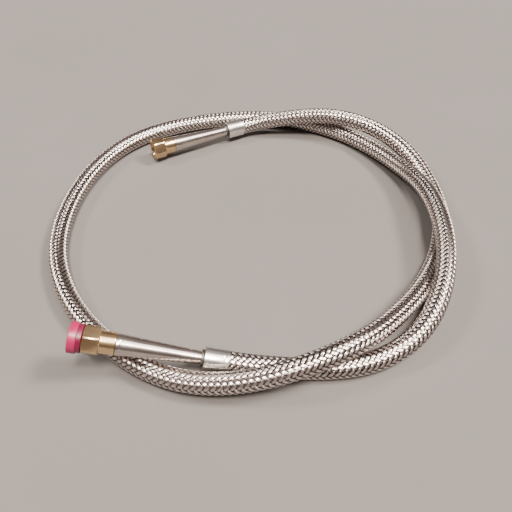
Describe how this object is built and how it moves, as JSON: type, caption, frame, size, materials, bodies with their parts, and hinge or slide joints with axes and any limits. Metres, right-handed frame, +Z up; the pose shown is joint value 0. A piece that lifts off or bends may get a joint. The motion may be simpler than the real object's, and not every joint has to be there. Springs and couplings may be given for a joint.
{
  "type": "braided hose",
  "caption": "Flexible metal hose in a stainless wire braid, coiled in a loose loop, with tapered end tubes, swivel nuts and a pull-off end plug.",
  "frame": {"origin": "centre of the bounding box's bottom face, on the plane that the hose lies on", "axes": "+Z up from the plane; +X to the right of the picture and +Y away from its viewer"},
  "size_m": [0.4606, 0.4665, 0.0603],
  "materials": {
    "steel_braid": "woven bright wire",
    "steel_inner": "dull",
    "steel_ferrule": "satin",
    "steel_tube": "polished",
    "brass": "machined, bright",
    "pink_plastic": "smooth moulded"
  },
  "bodies": {
    "hose": {"braid_sleeve": "steel_braid", "inner_hose": "steel_inner", "ferrule_a": "steel_ferrule", "ferrule_b": "steel_ferrule", "end_tube_a": "steel_tube", "end_tube_b": "steel_tube"},
    "nut_a": {"swivel_nut_a": "brass"},
    "nut_b": {"swivel_nut_b": "brass"},
    "plug": {"end_plug": "pink_plastic"}
  },
  "joints": [
    {"name": "nut_a_turn", "type": "hinge", "parent": "hose", "child": "nut_a", "pos_m": [-0.13449, -0.19448, 0.04088], "axis": [-0.973, 0.0313, 0.2288], "continuous": true},
    {"name": "nut_b_turn", "type": "hinge", "parent": "hose", "child": "nut_b", "pos_m": [-0.1206, 0.14058, 0.0168], "axis": [-0.8925, -0.4508, 0.014], "continuous": true},
    {"name": "plug_pull", "type": "slide", "parent": "nut_a", "child": "plug", "axis": [-0.973, 0.0313, 0.2288], "range_m": [0, 0.02]}
  ]
}
